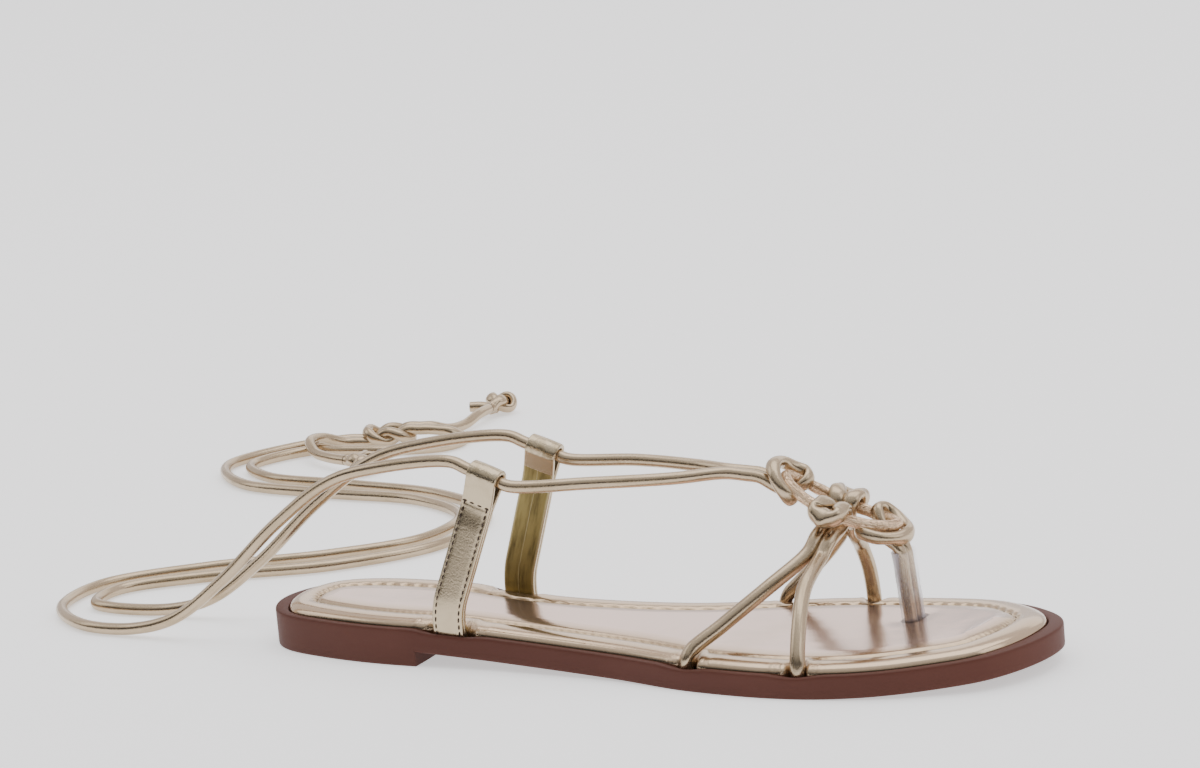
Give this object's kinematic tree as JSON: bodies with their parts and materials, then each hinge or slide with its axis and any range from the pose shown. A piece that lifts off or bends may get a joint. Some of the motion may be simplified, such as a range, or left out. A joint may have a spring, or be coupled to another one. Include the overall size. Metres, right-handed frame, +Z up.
{
  "type": "lace-up thong sandal",
  "caption": "Flat lace-up thong sandal for the right foot, with a toe post, an instep ring of hitched cords, folded ankle tabs and two long cord ties.",
  "frame": {"origin": "on the floor under the middle of the sole's outline", "axes": "+X to the toe, +Y to the medial (big toe) side, +Z up"},
  "size_m": [0.3857, 0.3191, 0.0628],
  "materials": {
    "rubber": "matt",
    "footbed": "metallic foil",
    "cord": "metallic foil",
    "sleeve": "clear"
  },
  "bodies": {
    "root": {"outsole": "rubber", "insole": "footbed", "toe_post_sleeve": "sleeve", "upper": "cord", "ankle_tab_lateral": "cord", "ankle_tab_medial": "cord", "tie_span_lateral": "cord", "tie_span_medial": "cord", "tie_run_lateral": "cord", "tie_run_medial": "cord", "tie_knot": "cord", "tie_tail_lateral": "cord", "tie_tail_medial": "cord", "end_knot_lateral": "cord", "end_knot_medial": "cord"}
  },
  "joints": []
}
